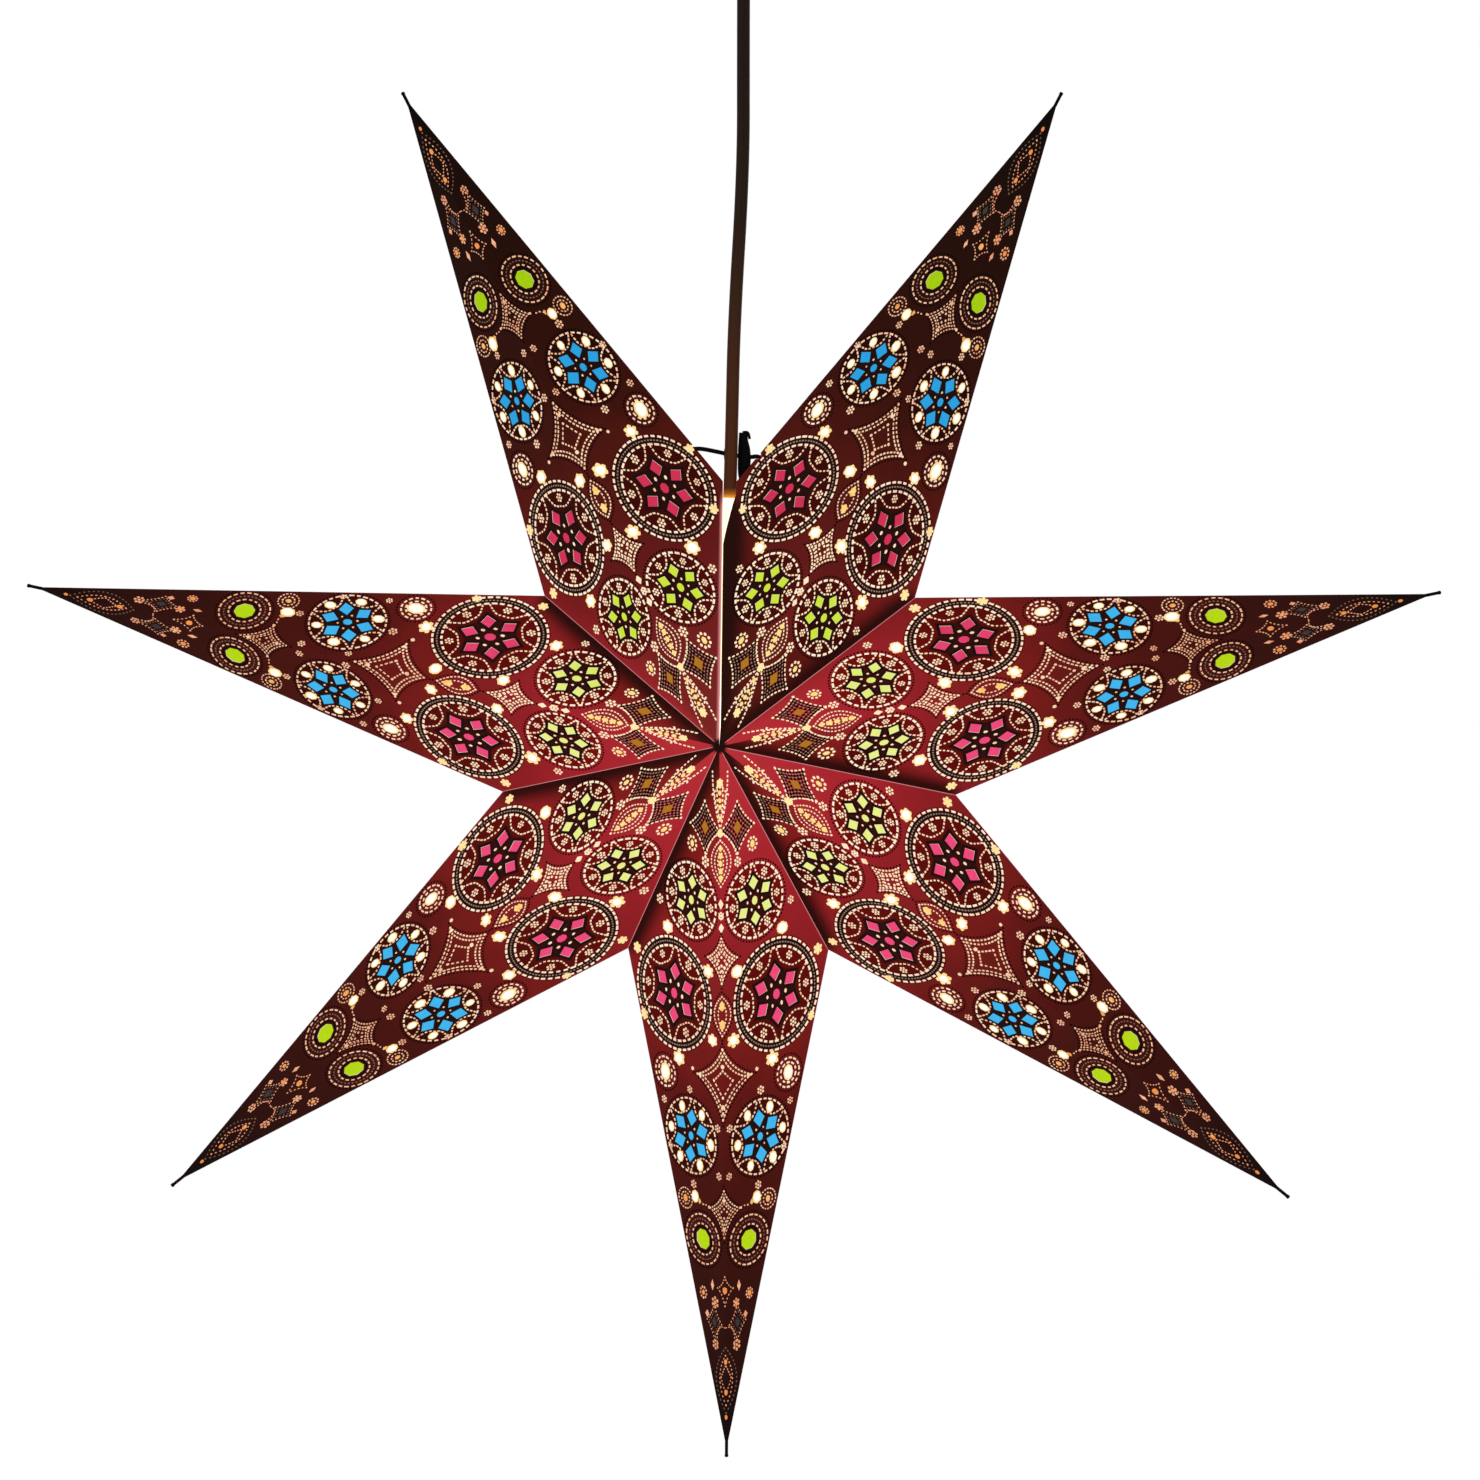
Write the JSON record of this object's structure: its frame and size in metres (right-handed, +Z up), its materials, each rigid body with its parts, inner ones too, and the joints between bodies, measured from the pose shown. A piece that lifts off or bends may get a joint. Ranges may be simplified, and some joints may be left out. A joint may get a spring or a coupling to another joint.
{
  "type": "folded paper star lantern",
  "caption": "Folded paper star lantern with pierced, tissue-backed windows, lit from inside and hung by its lead from a small ceiling cup.",
  "frame": {"origin": "middle of the ceiling base's top face, between its two screw holes", "axes": "+Z up against the ceiling, +Y from the star's front to its back, +X to the right seen from the front"},
  "size_m": [0.588, 0.13, 0.6526],
  "materials": {
    "printed_paper": "matt maroon print, darker towards the tips",
    "tissue_hub": "thin tissue, lit from behind",
    "tissue_middle": "thin tissue, lit from behind",
    "tissue_outer": "thin tissue, lit from behind",
    "tissue_tip": "thin tissue, lit from behind",
    "lead_sleeve": "dark brown sleeve",
    "holder_plastic": "moulded, satin",
    "core_ceramic": "unglazed",
    "brass": "pressed sheet",
    "bulb_glass": "frosted, warm white",
    "tie_string": "twisted black string",
    "ceiling_plastic": "moulded, satin",
    "steel": "plated",
    "terminal_plastic": "moulded"
  },
  "bodies": {
    "root": {"bulb": "bulb_glass", "ceiling_base": "ceiling_plastic", "ceiling_cup": "ceiling_plastic", "ceiling_grip": "ceiling_plastic", "ceiling_terminals": "terminal_plastic", "centre_contact": "brass", "grip_locknut": "steel", "holder_cap": "holder_plastic", "holder_core": "core_ceramic", "holder_skirt": "holder_plastic", "holder_terminals": "brass", "lead": "lead_sleeve", "paper_point_1": "printed_paper", "paper_point_2": "printed_paper", "paper_point_3": "printed_paper", "paper_point_4": "printed_paper", "paper_point_5": "printed_paper", "paper_point_6": "printed_paper", "paper_point_7": "printed_paper", "screw_shell": "brass", "strain_relief": "holder_plastic", "tie_string": "tie_string", "tissue_hub_back_1": "tissue_hub", "tissue_hub_back_2": "tissue_hub", "tissue_hub_back_3": "tissue_hub", "tissue_hub_back_4": "tissue_hub", "tissue_hub_back_5": "tissue_hub", "tissue_hub_back_6": "tissue_hub", "tissue_hub_back_7": "tissue_hub", "tissue_hub_front_1": "tissue_hub", "tissue_hub_front_2": "tissue_hub", "tissue_hub_front_3": "tissue_hub", "tissue_hub_front_4": "tissue_hub", "tissue_hub_front_5": "tissue_hub", "tissue_hub_front_6": "tissue_hub", "tissue_hub_front_7": "tissue_hub", "tissue_middle_1": "tissue_middle", "tissue_middle_2": "tissue_middle", "tissue_middle_3": "tissue_middle", "tissue_middle_4": "tissue_middle", "tissue_middle_5": "tissue_middle", "tissue_middle_6": "tissue_middle", "tissue_middle_7": "tissue_middle", "tissue_outer_1": "tissue_outer", "tissue_outer_2": "tissue_outer", "tissue_outer_3": "tissue_outer", "tissue_outer_4": "tissue_outer", "tissue_outer_5": "tissue_outer", "tissue_outer_6": "tissue_outer", "tissue_outer_7": "tissue_outer", "tissue_tip_1": "tissue_tip", "tissue_tip_2": "tissue_tip", "tissue_tip_3": "tissue_tip", "tissue_tip_4": "tissue_tip", "tissue_tip_5": "tissue_tip", "tissue_tip_6": "tissue_tip", "tissue_tip_7": "tissue_tip"}
  },
  "joints": []
}
